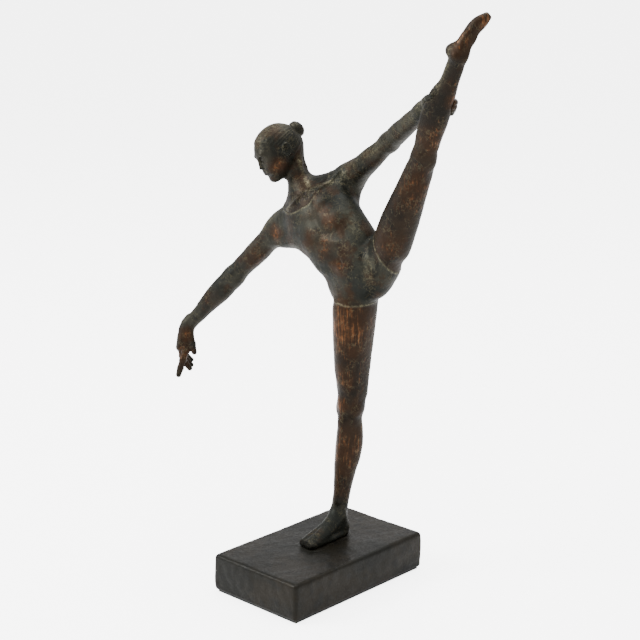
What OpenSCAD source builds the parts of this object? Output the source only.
// Bronze statuette of a dancer: a hollow plinth with a standing figure that holds one leg up.
// The origin is the middle of the felt's underside, +Z is up, the standing foot points to -Y
// and the raised leg goes up towards +X. Directions are [turn from +X, rise above level].

/* [Plinth] */
// Short side of the plinth
plinth_w = 94; // [84:1:120]
// Long side of the plinth
plinth_l = 153; // [130:1:190]
// Height of the plinth casting
plinth_h = 31.5; // [26:0.5:40]
// Wall of the plinth casting
plinth_wall = 5; // [4:0.5:6]
// Rounding of the plinth's edges
plinth_r = 3; // [1.5:0.5:4]
// Thickness of the sheet that closes the plinth
plate_t = 2; // [1.5:0.5:3]
// Thickness of the felt pad
felt_t = 1.5; // [1:0.5:3]
// Distance from the plinth's edge to the felt
felt_inset = 3; // [2:0.5:6]

/* [Standing leg] */
// Middle of the standing foot's heel, measured towards +X
foot_x = 0; // [-10:1:10]
// Back of the standing foot's heel, measured towards +Y
heel_y = 33; // [15:1:40]
// Length of the standing foot
foot_l = 50; // [42:1:58]
// Width of the standing foot at its ball
foot_w = 17; // [14:0.5:22]
// Height of the ankle above the sole
ankle_h = 20; // [17:1:26]
// Ankle to knee
shin_l = 94; // [80:1:113]
// Knee to hip
thigh_l = 110; // [92:1:132]
// Thickness of the ankle
ankle_d = 12.5; // [10:0.5:15]
// Thickness of the calf
calf_d = 21; // [17:0.5:25]
// Thickness of the knee
knee_d = 21.5; // [18:0.5:26]
// Thickness of the thigh where it meets the torso
thigh_d = 36; // [30:0.5:42]

/* [Raised leg] */
// Knee to hip of the raised leg
raised_thigh_l = 98; // [82:1:118]
// Ankle to knee of the raised leg
raised_shin_l = 89; // [78:1:107]
// Length of the pointed foot
raised_foot_l = 41; // [34:1:49]
// Thickness of the raised ankle
raised_ankle_d = 11.5; // [9:0.5:14]
// Thickness of the raised calf
raised_calf_d = 18.5; // [15:0.5:22]
// Thickness of the raised knee
raised_knee_d = 18; // [15:0.5:22]
// Thickness of the raised thigh at the torso
raised_thigh_d = 32; // [27:0.5:39]

/* [Torso] */
// Distance between the two hip joints
hip_span = 35; // [29:1:42]
// Width of the hips
hips_w = 50; // [42:1:60]
// Width of the waist
waist_w = 51; // [43:1:60]
// Width of the rib cage
chest_w = 70; // [58:1:82]
// Depth of the trunk from front to back
trunk_d = 35; // [29:1:42]
// Distance between the two shoulder joints
shoulder_span = 77; // [66:1:90]
// Wall of the hollow torso
torso_wall = 5; // [4:0.5:7]

/* [Arms] */
// Shoulder to elbow of the lowered arm
upper_arm_l = 71; // [60:1:85]
// Elbow to wrist of the lowered arm
forearm_l = 68; // [57:1:81]
// Length of the lowered hand
hand_l = 42; // [36:1:50]
// Thickness of the arm at the shoulder
shoulder_d = 20; // [17:0.5:24]
// Thickness of the elbow
elbow_d = 15; // [12.5:0.5:18]
// Thickness of the wrist
wrist_d = 10.5; // [9:0.5:12.5]
// Thickness of a finger
finger_d = 4.2; // [3.5:0.1:5]
// Where the hand holds the raised calf, as a share of the way from knee to ankle
grip_at = 0.43; // [0.35:0.01:0.55]

/* [Head] */
// Length of the neck
neck_l = 26; // [22:1:31]
// Thickness of the neck
neck_d = 17; // [14:0.5:20]
// Height of the head from chin to crown
head_h = 46; // [40:1:54]
// Width of the head
head_w = 32; // [28:1:38]
// Depth of the head from face to nape
head_depth = 40; // [35:1:46]
// Width of the bun
bun_d = 16; // [13:0.5:20]

/* [Fixings] */
// Thread size of the studs
stud_d = 5; // [4:0.5:6]
// Depth that the heel stud enters the figure
heel_stud_grip = 16; // [12:1:20]
// Depth that the toe stud enters the figure
toe_stud_grip = 5; // [4:0.5:6]
// Height of the nuts
nut_h = 4; // [3:0.5:5]
// Thickness of the washers
washer_t = 1; // [0.8:0.1:1.6]
// Thread size of the sheet's screws
screw_d = 3; // [2.5:0.5:4]
// Length of the sheet's screws
screw_l = 9; // [7:0.5:12]
// Thickness of the hip dowels
hip_dowel_d = 6; // [4:0.5:8]
// Thickness of the shoulder and neck dowels
dowel_d = 4; // [3:0.5:5]
// Length of the dowels
dowel_l = 16; // [12:1:20]
// Thickness of the pin between hand and calf
grip_pin_d = 2; // [1.5:0.5:2.5]
// Clearance around studs, dowels and screws
fit = 0.1; // [0.05:0.05:0.2]

/* [Hidden] */
$fn = 48;
sides = 20;        // sides of a limb's section
finger_sides = 8;  // sides of a finger's section
small = 0.01;      // overlap that keeps joined solids in one piece

// Vectors
function unit(v) = v / norm(v);
function aim(a) = [cos(a[1]) * cos(a[0]), cos(a[1]) * sin(a[0]), sin(a[1])];
function mix(a, b, s) = a + (b - a) * s;
function across(v, t) = unit(v - (v * t) * t);
function bell(s, at, spread) = exp(-pow((s - at) / spread, 2));

// Heights of the plinth
casting_z = felt_t;
top_z = felt_t + plinth_h;
roof_z = top_z - plinth_wall;
post_d = 3 * screw_d;
boss_d = 2.8 * stud_d;
boss_h = 3;
boss_z = roof_z - boss_h;
washer_d = 2.2 * stud_d;
nut_w = 1.6 * stud_d;
thread_out = 2;    // thread that shows below a nut
screw_head_d = 1.9 * screw_d;
plate_play = 0.3;  // gap between the sheet and its rebate
rebate = plinth_wall / 2;
post_inset = plinth_wall + post_d / 2 - 1;

// The skeleton of the figure
ankle = [foot_x, heel_y - 0.19 * foot_l, top_z + ankle_h];
knee = ankle + shin_l * aim([64, 84]);
hip = knee + thigh_l * aim([44, 88]);
raised_hip = hip + hip_span * aim([0, 23]);
raised_knee = raised_hip + raised_thigh_l * aim([-9, 64]);
raised_ankle = raised_knee + raised_shin_l * aim([-21, 61]);
pelvis = mix(hip, raised_hip, 0.4) + [0, -1, 3];
waist = pelvis + [-21, -3, 11];
chest = waist + 33 * aim([176, 37]);
neck_root = chest + 32 * aim([170, 46]);
skull_base = neck_root + neck_l * aim([-173, 65]);
girdle = neck_root + [0, 10, -9];
shoulder_line = aim([20, 36]);
shoulder = girdle - shoulder_line * shoulder_span / 2;
raised_shoulder = girdle + shoulder_line * shoulder_span / 2;
elbow = shoulder + upper_arm_l * aim([-167, -45]);
wrist = elbow + forearm_l * aim([-159, -46]);
knuckles = wrist + hand_l * 0.5 * aim([-123, -73]);

// Directions of the standing leg
shin_up = unit(knee - ankle);
thigh_up = unit(hip - knee);
foot_side = [1, 0, 0];
foot_back = [0, 1, 0];

// Directions of the raised leg: its back faces the other shoulder
raised_thigh_up = unit(raised_knee - raised_hip);
raised_shin_up = unit(raised_ankle - raised_knee);
calf_back = across(aim([180, 28]), raised_shin_up);
calf_far = cross(calf_back, raised_shin_up);

// Directions of the head: it looks down along the lowered arm
head_up = aim([-142, 62]);
face = across(aim([-110, -24]), head_up);
head_side = cross(head_up, face);
skull = skull_base + 0.29 * head_h * unit(head_up + 0.7 * face);
bun = skull + 0.13 * head_h * head_up - 0.47 * head_depth * face;

// Planes in which the castings meet
standing_cut = hip - 0.2 * thigh_l * thigh_up;
raised_cut = raised_hip + 0.11 * raised_thigh_l * raised_thigh_up;
raised_face = aim([20, 47]);
arm_down = unit(elbow - shoulder);
shoulder_cut = shoulder + 2 * arm_down;
palm_out = raised_calf_d / 2 + finger_d;
grip = mix(raised_knee, raised_ankle, grip_at);
palm = grip + palm_out * calf_back + 1.5 * calf_far;
raised_wrist = mix(palm, raised_shoulder, 0.09) + 1.5 * calf_far;
raised_elbow = mix(raised_shoulder, raised_wrist, 0.51) + [0, 5, -1];
arm_up = unit(raised_elbow - raised_shoulder);
raised_shoulder_cut = raised_shoulder + 3 * arm_up;
neck_up = unit(skull_base - neck_root);

// One section of a limb round c: a and b are its half widths, t runs along the limb, and the
// section lies in the plane through c with the normal n
function section(c, t, side, a, b, n, count) =
    [for (k = [0:count - 1])
        let (p = a * cos(360 * k / count) * side + b * sin(360 * k / count) * cross(t, side))
        c + p - t * ((p * n) / (t * n))];

// A round section at share s of the bone from a to b
function slice(a, b, s, d, side, shift = [0, 0, 0], flat = 1, count = sides) =
    let (t = unit(b - a))
    section(mix(a, b, s) + shift, t, across(side, t), d / 2, d / 2 * flat, t, count);

// A solid skinned over rings that all have the same number of points
module skin(rings) {
    m = len(rings);
    n = len(rings[0]);
    polyhedron(
        points = [for (r = rings) for (p = r) p],
        faces = concat(
            [[for (k = [0:n - 1]) k]],
            [[for (k = [n - 1:-1:0]) (m - 1) * n + k]],
            [for (j = [0:m - 2]) for (k = [0:n - 1])
                [j * n + k, (j + 1) * n + k, (j + 1) * n + (k + 1) % n]],
            [for (j = [0:m - 2]) for (k = [0:n - 1])
                [j * n + k, (j + 1) * n + (k + 1) % n, j * n + (k + 1) % n]]));
}

// An egg round c with the half widths a along u, b along v and h along their normal
module egg(c, u, v, a, b, h, count = 16) {
    w = cross(u, v);
    skin([for (q = [-75:25:75]) section(c + h * sin(q) * w, w, u, a * cos(q), b * cos(q), w, count)]);
}

// A straight round rod from point a along the direction t
module rod(a, t, d, l) {
    translate(a)
        rotate([0, acos(t[2]), atan2(t[1], t[0])])
            cylinder(d = d, h = l);
}

// A dowel centred on a joint plane, and the hole for it
module dowel(c, t, d) rod(c - t * dowel_l / 2, t, d, dowel_l);
module dowel_hole(c, t, d) rod(c - t * (dowel_l / 2 + fit), t, d + 2 * fit, dowel_l + 2 * fit);

// Everything within a limb's reach beyond a joint plane
module beyond(c, t, d, l) rod(c, t, d, l);

// A block with rounded upright edges and a rounded upper rim
module rounded_block(w, l, h, r) {
    for (x = [-1, 1])
        for (y = [-1, 1])
            translate([x * (w / 2 - r), y * (l / 2 - r), 0]) {
                cylinder(r = r, h = h - r);
                translate([0, 0, h - r])
                    sphere(r = r);
            }
    for (x = [-1, 1])
        translate([x * (w / 2 - r), 0, h - r])
            rotate([90, 0, 0])
                cylinder(r = r, h = l - 2 * r, center = true);
    for (y = [-1, 1])
        translate([0, y * (l / 2 - r), h - r])
            rotate([0, 90, 0])
                cylinder(r = r, h = w - 2 * r, center = true);
    translate([-w / 2, r - l / 2, 0])
        cube([w, l - 2 * r, h - r]);
    translate([r - w / 2, -l / 2, 0])
        cube([w - 2 * r, l, h - r]);
    translate([r - w / 2, r - l / 2, 0])
        cube([w - 2 * r, l - 2 * r, h]);
}

// The four corners in which the sheet is screwed to the plinth
module at_posts() {
    for (x = [-1, 1])
        for (y = [-1, 1])
            translate([x * (plinth_w / 2 - post_inset), y * (plinth_l / 2 - post_inset), 0])
                children();
}

// The two places where the foot is bolted down
heel_bolt = [foot_x, ankle[1] - 1];
toe_bolt = [foot_x - 1, heel_y - 0.72 * foot_l];
module at_bolts() {
    for (p = [heel_bolt, toe_bolt])
        translate([p[0], p[1], 0])
            children();
}

module plinth() {
    color("#3b3a36")
        difference() {
            union() {
                difference() {
                    translate([0, 0, casting_z])
                        rounded_block(plinth_w, plinth_l, plinth_h, plinth_r);
                    translate([plinth_wall - plinth_w / 2, plinth_wall - plinth_l / 2, 0])
                        cube([plinth_w - 2 * plinth_wall, plinth_l - 2 * plinth_wall, roof_z]);
                }
                at_bolts()
                    translate([0, 0, boss_z])
                        cylinder(d = boss_d, h = boss_h + small);
                at_posts()
                    translate([0, 0, casting_z + plate_t])
                        cylinder(d = post_d, h = roof_z - casting_z - plate_t + small);
            }
            translate([rebate - plinth_w / 2, rebate - plinth_l / 2, 0])
                cube([plinth_w - 2 * rebate, plinth_l - 2 * rebate, casting_z + plate_t]);
            at_bolts()
                cylinder(d = stud_d + 2 * fit, h = top_z + 1);
            at_posts()
                cylinder(d = screw_d + 2 * fit, h = casting_z + screw_l + 1);
        }
}

module base_plate() {
    w = plinth_w - 2 * rebate - 2 * plate_play;
    l = plinth_l - 2 * rebate - 2 * plate_play;
    color("#57564f")
        difference() {
            translate([-w / 2, -l / 2, casting_z])
                cube([w, l, plate_t]);
            at_posts() {
                cylinder(d = screw_d + 2 * fit, h = top_z);
                translate([0, 0, casting_z - small])
                    cylinder(d1 = screw_head_d + 2 * fit, d2 = screw_d + 2 * fit,
                             h = (screw_head_d - screw_d) / 2);
            }
        }
}

module plate_screws() {
    color("silver")
        at_posts()
            translate([0, 0, casting_z]) {
                cylinder(d1 = screw_head_d, d2 = screw_d, h = (screw_head_d - screw_d) / 2);
                cylinder(d = screw_d, h = screw_l);
            }
}

module felt_pad() {
    w = plinth_w - 2 * felt_inset;
    l = plinth_l - 2 * felt_inset;
    color("#1f2a22")
        translate([-w / 2, -l / 2, 0])
            cube([w, l, felt_t]);
}

module stud(p, grip_l) {
    start = boss_z - washer_t - nut_h - thread_out;
    translate([p[0], p[1], start])
        cylinder(d = stud_d, h = top_z - start + grip_l);
}

module stud_hole(p, grip_l) {
    translate([p[0], p[1], top_z - 1])
        cylinder(d = stud_d + 2 * fit, h = grip_l + 1 + fit);
}

module heel_stud() color("silver") stud(heel_bolt, heel_stud_grip);
module toe_stud() color("silver") stud(toe_bolt, toe_stud_grip);

module stud_washers() {
    color("silver")
        at_bolts()
            translate([0, 0, boss_z - washer_t])
                difference() {
                    cylinder(d = washer_d, h = washer_t);
                    translate([0, 0, -1])
                        cylinder(d = stud_d + 2 * fit, h = washer_t + 2);
                }
}

module stud_nuts() {
    color("silver")
        at_bolts()
            translate([0, 0, boss_z - washer_t - nut_h])
                difference() {
                    cylinder(d = nut_w / cos(30), h = nut_h, $fn = 6);
                    translate([0, 0, -1])
                        cylinder(d = stud_d + 2 * fit, h = nut_h + 2);
                }
}

// A flat-soled section of the standing foot at share s of its length from heel to toe
function sole_ring(s, half, height) =
    [for (k = [0:sides / 2])
        [foot_x - (s > 0.6 ? 1 : 0) + half * cos(360 * k / sides),
         heel_y - s * foot_l,
         top_z + height * sin(360 * k / sides)]];

module standing_foot() {
    half = foot_w / 2;
    skin([
        sole_ring(0, 0.35 * half, 0.3 * ankle_h),
        sole_ring(0.05, 0.62 * half, 0.6 * ankle_h),
        sole_ring(0.16, 0.74 * half, 0.85 * ankle_h),
        sole_ring(0.30, 0.72 * half, 0.88 * ankle_h),
        sole_ring(0.45, 0.76 * half, 0.68 * ankle_h),
        sole_ring(0.62, 0.94 * half, 0.48 * ankle_h),
        sole_ring(0.76, half, 0.38 * ankle_h),
        sole_ring(0.90, 0.88 * half, 0.29 * ankle_h),
        sole_ring(1, 0.45 * half, 0.16 * ankle_h)]);
}

module standing_leg() {
    to_cut = norm(standing_cut - knee) / thigh_l;
    heel = [foot_x, ankle[1], top_z + 0.35 * ankle_h];
    color("#6b4a32")
        difference() {
            union() {
                standing_foot();
                skin(concat(
                    [slice(heel, ankle, 0, ankle_d, foot_side)],
                    [for (s = [0:0.1:1])
                        slice(ankle, knee, s,
                              mix(ankle_d, knee_d, s) + (calf_d - 18) * bell(s, 0.6, 0.2),
                              foot_side, foot_back * 2 * bell(s, 0.6, 0.25))],
                    [for (s = [0.12:0.1:to_cut])
                        slice(knee, hip, s, mix(knee_d, thigh_d, s / to_cut), foot_side,
                              -foot_back * 2 * bell(s, 0.45, 0.3))],
                    [section(standing_cut, thigh_up, across(foot_side, thigh_up),
                             thigh_d / 2, thigh_d / 2, thigh_up, sides)]));
            }
            stud_hole(heel_bolt, heel_stud_grip);
            stud_hole(toe_bolt, toe_stud_grip);
            dowel_hole(standing_cut, thigh_up, hip_dowel_d);
        }
}

// The raised leg's shaft, grown by a gap where it is cut out of the hand that holds it
module raised_shaft(gap = 0) {
    to_cut = norm(raised_cut - raised_hip) / raised_thigh_l;
    skin(concat(
        [section(raised_cut, raised_thigh_up, across(calf_far, raised_thigh_up),
                 raised_thigh_d / 2, raised_thigh_d / 2, raised_face, sides)],
        [for (s = [to_cut + 0.17:0.1:0.95])
            slice(raised_hip, raised_knee, s,
                  mix(raised_thigh_d, raised_knee_d, (s - to_cut) / (1 - to_cut)) + 2 * gap,
                  calf_far)],
        [for (s = [0.05:0.1:1.06])
            slice(raised_knee, raised_ankle, s,
                  mix(raised_knee_d, raised_ankle_d, s)
                      + (raised_calf_d - 16) * bell(s, 0.38, 0.2) + 2 * gap,
                  calf_far, calf_back * 1.5 * bell(s, 0.38, 0.25))]));
}

// The pointed foot carries on from the ankle, with the heel on the calf's side
foot_out = aim([2, 38]);
raised_heel = raised_ankle + 6 * calf_back + 2 * raised_shin_up;
raised_toe = raised_heel + raised_foot_l * foot_out;
module raised_foot() {
    up = across(-calf_back, foot_out);
    side = cross(foot_out, up);
    half = 0.38 * foot_w;
    // Along the foot: share of its length, half width, half height
    for (part = [[[0, 0.35, 0.35], [0.08, 0.6, 0.62], [0.2, 0.74, 0.8], [0.35, 0.82, 0.78],
                  [0.55, 0.9, 0.66], [0.75, 0.92, 0.46], [0.9, 0.7, 0.3], [1, 0.35, 0.2]]])
        skin([for (p = part)
            section(mix(raised_heel, raised_toe, p[0]) + up * half * (p[2] - 0.3),
                    foot_out, side, p[1] * half, p[2] * half, foot_out, sides)]);
}

module raised_leg() {
    color("#5a4331")
        difference() {
            union() {
                raised_shaft();
                raised_foot();
            }
            dowel_hole(raised_cut, raised_face, hip_dowel_d);
            grip_hole();
        }
}

// The pin that fastens the palm to the calf
grip_pin_l = palm_out + 2;
module grip_pin() color("silver") rod(grip + 2 * calf_back, calf_back, grip_pin_d, grip_pin_l);
module grip_hole() {
    rod(grip + (2 - fit) * calf_back, calf_back, grip_pin_d + 2 * fit, grip_pin_l + 2 * fit);
}

// Sections of the trunk from the hips to the neck: place, half width and half depth
trunk = [
    [pelvis + [-3, 2, -14], 0.40 * hips_w, 0.46 * trunk_d],
    [pelvis, 0.50 * hips_w, 0.54 * trunk_d],
    [mix(pelvis, waist, 0.5), 0.50 * (hips_w + waist_w) / 2, 0.5 * trunk_d],
    [waist, 0.5 * waist_w, 0.47 * trunk_d],
    [mix(waist, chest, 0.5), 0.5 * (waist_w + chest_w) / 2, 0.49 * trunk_d],
    [chest, 0.5 * chest_w, 0.54 * trunk_d],
    [mix(chest, neck_root, 0.4), 0.52 * chest_w, 0.49 * trunk_d],
    [mix(chest, neck_root, 0.75), 0.36 * chest_w, 0.37 * trunk_d],
    [neck_root, 0.62 * neck_d, 0.62 * neck_d]];
function trunk_way(i) =
    unit(trunk[min(i + 1, len(trunk) - 1)][0] - trunk[max(i - 1, 0)][0]);
function trunk_side(i) =
    across(mix([1, 0, 0.3], shoulder_line, i / (len(trunk) - 1)), trunk_way(i));
function trunk_ring(i, wall) =
    section(trunk[i][0], trunk_way(i), trunk_side(i), trunk[i][1] - wall, trunk[i][2] - wall,
            trunk_way(i), sides);

module hip_root(c, t, joint, n, d) {
    skin([
        section(c - 4 * t, t, across(foot_side, t), 0.38 * d, 0.38 * d, t, sides),
        section(mix(c, joint, 0.4), t, across(foot_side, t), 0.5 * d, 0.5 * d, t, sides),
        section(joint, t, across(foot_side, t), d / 2, d / 2, n, sides)]);
}

module shoulder_root(c, t, joint) {
    skin([
        section(c, t, across(foot_back, t), 0.62 * shoulder_d, 0.55 * shoulder_d, t, sides),
        section(mix(c, joint, 0.6), t, across(foot_back, t),
                0.6 * shoulder_d, 0.56 * shoulder_d, t, sides),
        section(joint, t, across(foot_back, t), shoulder_d / 2, shoulder_d / 2, t, sides)]);
}

chest_front = cross(shoulder_line, unit(neck_root - chest));
core_hole_d = 4;   // hole through which the casting core was taken out
module torso() {
    reach = 30;
    color("#4c4e47")
        difference() {
            union() {
                skin([for (i = [0:len(trunk) - 1]) trunk_ring(i, 0)]);
                hip_root(hip, -thigh_up, standing_cut, thigh_up, thigh_d);
                hip_root(raised_hip, raised_thigh_up, raised_cut, raised_face, raised_thigh_d);
                shoulder_root(mix(girdle, shoulder, 0.35), arm_down, shoulder_cut);
                shoulder_root(mix(girdle, raised_shoulder, 0.35), arm_up, raised_shoulder_cut);
                for (s = [0.05, 0.75])
                    egg(mix(hip, raised_hip, s) + [0, 0.14 * trunk_d, -7 * s],
                        foot_side, foot_back, 0.34 * hips_w, 0.4 * trunk_d, 0.33 * hips_w);
                for (s = [-1, 1])
                    egg(chest + 0.26 * trunk_d * chest_front + s * 0.23 * chest_w * shoulder_line,
                        shoulder_line, chest_front, 10, 10, 10);
            }
            skin([for (i = [1:len(trunk) - 3]) trunk_ring(i, torso_wall)]);
            rod(pelvis + [-8, 8, 0], -thigh_up, core_hole_d, 60);
            beyond(standing_cut, -thigh_up, thigh_d + 16, reach);
            beyond(raised_cut, raised_face, raised_thigh_d + 14, reach);
            beyond(shoulder_cut, arm_down, shoulder_d + 8, reach);
            beyond(raised_shoulder_cut, arm_up, shoulder_d + 8, reach);
            beyond(neck_root, neck_up, neck_d + 16, reach);
            dowel_hole(standing_cut, thigh_up, hip_dowel_d);
            dowel_hole(raised_cut, raised_face, hip_dowel_d);
            dowel_hole(shoulder_cut, arm_down, dowel_d);
            dowel_hole(raised_shoulder_cut, arm_up, dowel_d);
            dowel_hole(neck_root, neck_up, dowel_d);
        }
}

// An arm from its joint plane over the elbow to the wrist
module arm(cut, mid, end) {
    side = foot_back;
    skin(concat(
        [for (s = [0:0.16:0.96]) slice(cut, mid, s, mix(shoulder_d, elbow_d, s), side)],
        [for (s = [0.06:0.13:1.1])
            slice(mid, end, s, mix(elbow_d, wrist_d, min(s, 1)) + 1.5 * bell(s, 0.3, 0.2), side)]));
}

// A finger skinned along points that start in the palm
module finger(points) {
    n = len(points);
    side = cross(unit(points[n - 1] - points[0]), [0.3, 0.2, 1]);
    skin([for (i = [0:n - 1])
        let (t = unit(points[min(i + 1, n - 1)] - points[max(i - 1, 0)]))
        section(points[i], t, across(side, t), finger_d / 2 * (i == n - 1 ? 0.6 : 1),
                finger_d / 2 * (i == n - 1 ? 0.6 : 1), t, finger_sides)]);
}

module lowered_arm() {
    down = unit(knuckles - wrist);
    spread = across([0.73, 0.69, 0], down);
    flat = cross(down, spread);
    color("#54483b")
        difference() {
            union() {
                arm(shoulder_cut, elbow, wrist);
                skin([
                    section(mix(elbow, wrist, 0.96), down, spread, 0.5 * wrist_d, 0.42 * wrist_d,
                            down, sides),
                    section(mix(wrist, knuckles, 0.4), down, spread, 0.62 * wrist_d,
                            0.4 * wrist_d, down, sides),
                    section(knuckles, down, spread, 0.72 * wrist_d, 0.34 * wrist_d, down, sides),
                    section(knuckles + 3 * down, down, spread, 0.62 * wrist_d, 0.24 * wrist_d,
                            down, sides)]);
                for (k = [-1.5:1:1.5])
                    finger([for (s = [0, 0.5, 1])
                        knuckles + s * 0.46 * hand_l * unit(down + 0.1 * k * spread)
                            + 0.16 * wrist_d * k * 2.4 * spread
                            - (s * s * (1.5 + k) * 1.5) * flat]);
                finger([for (s = [0, 0.5, 1])
                    mix(wrist, knuckles, 0.35) + 0.45 * wrist_d * spread
                        + s * 0.4 * hand_l * unit(down + 0.35 * spread - 0.3 * flat)]);
            }
            dowel_hole(shoulder_cut, arm_down, dowel_d);
        }
}

// A point beside the raised calf: share along the shin's way in mm, angle round it, distance
function round_calf(along, turn, out) =
    grip + along * raised_shin_up + out * (cos(turn) * calf_back + sin(turn) * calf_far);

module raised_arm() {
    ring_r = raised_calf_d / 2 + 0.55 * finger_d;
    color("#4f4a40")
        difference() {
            union() {
                arm(raised_shoulder_cut, raised_elbow, raised_wrist);
                egg(palm, raised_shin_up, calf_far, 9, 7.5, 4.5);
                for (k = [-1.5:1:1.5])
                    finger([for (turn = [10:30:160 - 6 * abs(k)])
                        round_calf(k * 0.95 * finger_d, turn, ring_r)]);
                finger([for (turn = [0:-20:-60])
                    round_calf(7 - turn / 20, turn, ring_r)]);
            }
            raised_shaft(fit + 0.15);
            dowel_hole(raised_shoulder_cut, arm_up, dowel_d);
            grip_hole();
        }
}

module head() {
    jaw = skull - 0.20 * head_h * head_up + 0.14 * head_depth * face;
    chin = skull - 0.42 * head_h * head_up + 0.24 * head_depth * face;
    color("#4a4b45")
        difference() {
            union() {
                skin([
                    section(neck_root, neck_up, across(foot_back, neck_up), 0.62 * neck_d,
                            0.62 * neck_d, neck_up, sides),
                    section(mix(neck_root, skull_base, 0.35), neck_up,
                            across(foot_back, neck_up), neck_d / 2, neck_d / 2, neck_up, sides),
                    section(mix(neck_root, skull_base, 1.05), neck_up,
                            across(foot_back, neck_up), neck_d / 2, neck_d / 2, neck_up, sides)]);
                egg(skull + 0.06 * head_h * head_up, face, head_side, 0.48 * head_depth,
                    0.5 * head_w, 0.44 * head_h, sides);
                egg(jaw, face, head_side, 0.32 * head_depth, 0.36 * head_w, 0.26 * head_h);
                egg(chin, face, head_side, 0.13 * head_depth, 0.16 * head_w, 0.1 * head_h);
                egg(skull - 0.1 * head_h * head_up + 0.47 * head_depth * face, face, head_side,
                    0.07 * head_depth, 0.07 * head_w, 0.1 * head_h);
                for (s = [-1, 1])
                    egg(skull - 0.06 * head_h * head_up + s * 0.47 * head_w * head_side
                            - 0.04 * head_depth * face, face, head_side,
                        0.09 * head_depth, 0.06 * head_w, 0.11 * head_h);
                egg(bun, face, head_side, bun_d / 2, bun_d / 2, bun_d / 2);
            }
            dowel_hole(neck_root, neck_up, dowel_d);
        }
}

module neck_dowel() color("silver") dowel(neck_root, neck_up, dowel_d);
module lowered_shoulder_dowel() color("silver") dowel(shoulder_cut, arm_down, dowel_d);
module raised_shoulder_dowel() color("silver") dowel(raised_shoulder_cut, arm_up, dowel_d);
module raised_hip_dowel() color("silver") dowel(raised_cut, raised_face, hip_dowel_d);
module standing_hip_dowel() color("silver") dowel(standing_cut, thigh_up, hip_dowel_d);

plinth();
base_plate();
plate_screws();
felt_pad();
standing_leg();
heel_stud();
toe_stud();
stud_washers();
stud_nuts();
torso();
raised_leg();
lowered_arm();
raised_arm();
head();
neck_dowel();
lowered_shoulder_dowel();
raised_shoulder_dowel();
raised_hip_dowel();
standing_hip_dowel();
grip_pin();
